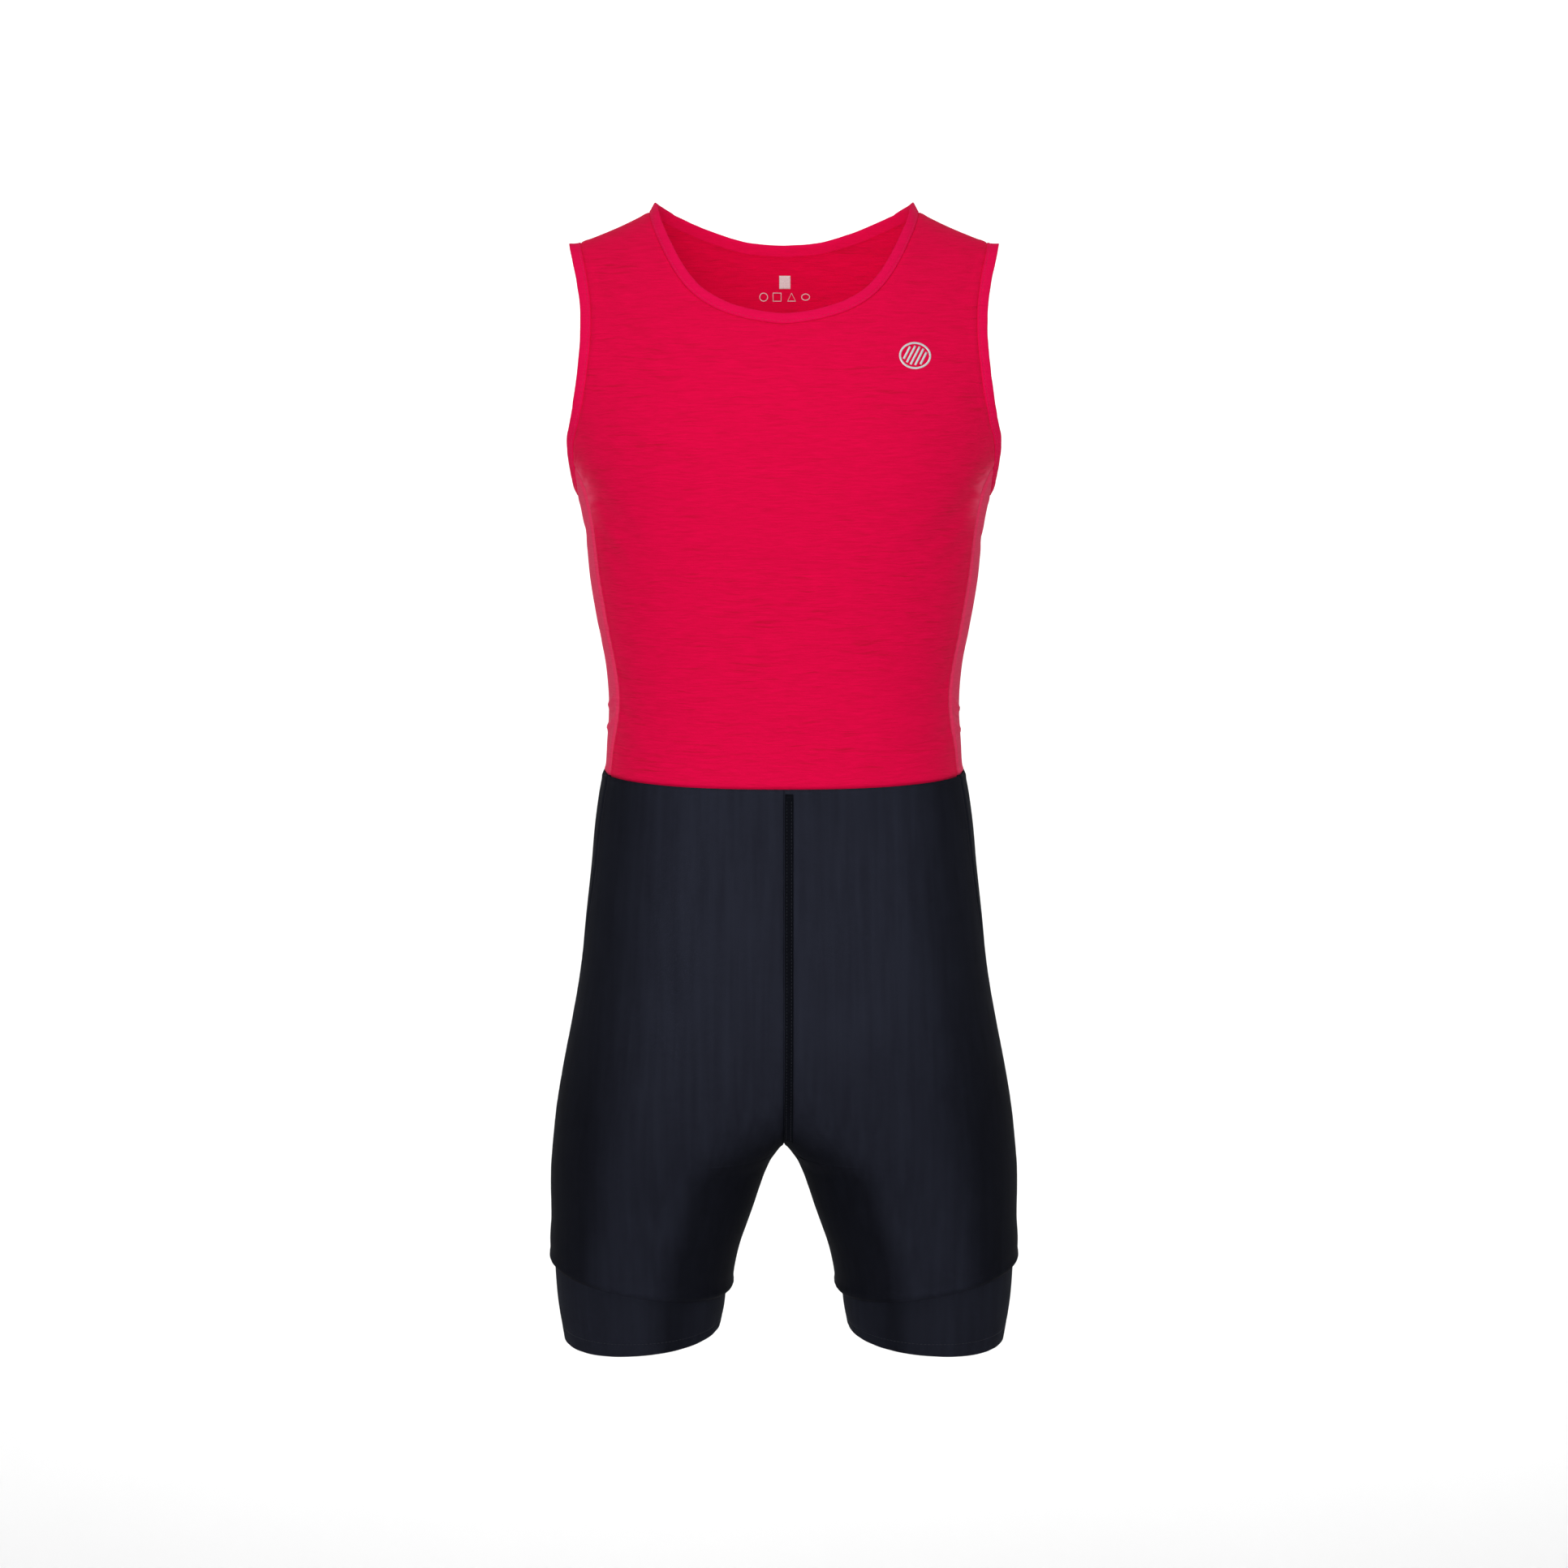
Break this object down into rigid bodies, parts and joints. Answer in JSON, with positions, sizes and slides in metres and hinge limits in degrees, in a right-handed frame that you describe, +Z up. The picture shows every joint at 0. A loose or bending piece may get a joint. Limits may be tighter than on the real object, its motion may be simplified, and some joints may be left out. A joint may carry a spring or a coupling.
{
  "type": "rowing unisuit",
  "caption": "Sleeveless rowing unisuit: a round-necked knit top sewn at the waist to tight stretch shorts with leg bands, filled out as worn.",
  "frame": {"origin": "on the centre plane between the shoulders, level with the highest points of the neck, where the wearer's shoulders hold the garment", "axes": "+Z up, the front faces -Y, +X to the wearer's left"},
  "size_m": [0.3646, 0.2503, 0.8778],
  "materials": {
    "red_knit": "matt slub knit with fine level streaks",
    "red_side_knit": "plain matt knit",
    "red_binding": "smooth folded knit band",
    "navy_lycra": "smooth stretch cloth with a soft sheen",
    "navy_band": "smooth stretch band",
    "dark_tape": "flat matt seam tape"
  },
  "bodies": {
    "root": {"top_front": "red_knit", "top_back": "red_knit", "side_panel_left": "red_side_knit", "side_panel_right": "red_side_knit", "neck_binding": "red_binding", "armhole_binding_left": "red_binding", "armhole_binding_right": "red_binding", "shorts_front_left": "navy_lycra", "shorts_front_right": "navy_lycra", "shorts_back_left": "navy_lycra", "shorts_back_right": "navy_lycra", "centre_front_tape": "dark_tape", "leg_band_left": "navy_band", "leg_band_right": "navy_band"}
  },
  "joints": []
}
